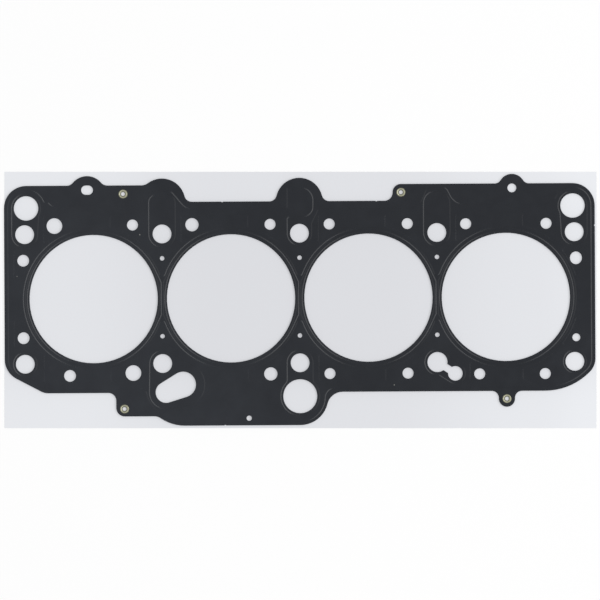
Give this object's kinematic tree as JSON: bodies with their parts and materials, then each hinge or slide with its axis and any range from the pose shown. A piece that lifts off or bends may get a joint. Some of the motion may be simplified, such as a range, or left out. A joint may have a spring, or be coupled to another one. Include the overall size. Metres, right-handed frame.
{
  "type": "cylinder head gasket",
  "caption": "Multi-layer steel cylinder head gasket for an inline engine: two embossed, coated sheets riveted to a carrier sheet.",
  "frame": {"origin": "half-way along the cylinder row, on the row's centre line, in the plane of the face that meets the block", "axes": "+X along the cylinder row, +Y towards the edge with the waist between two lobes, +Z from the block to the cylinder head"},
  "size_m": [0.3784, 0.1602, 0.0019],
  "materials": {
    "coated_sheet": "thin satin charcoal rubber coating on sheet steel",
    "bare_steel": "rolled sheet steel with blanked edges",
    "plated_rivet": "pale yellow plating, slightly dull"
  },
  "bodies": {
    "root": {"upper_layer": "coated_sheet", "lower_layer": "coated_sheet", "carrier_layer": "bare_steel", "rivet_upper_left": "plated_rivet", "rivet_upper_right": "plated_rivet", "rivet_lower_left": "plated_rivet", "rivet_lower_right": "plated_rivet"}
  },
  "joints": []
}
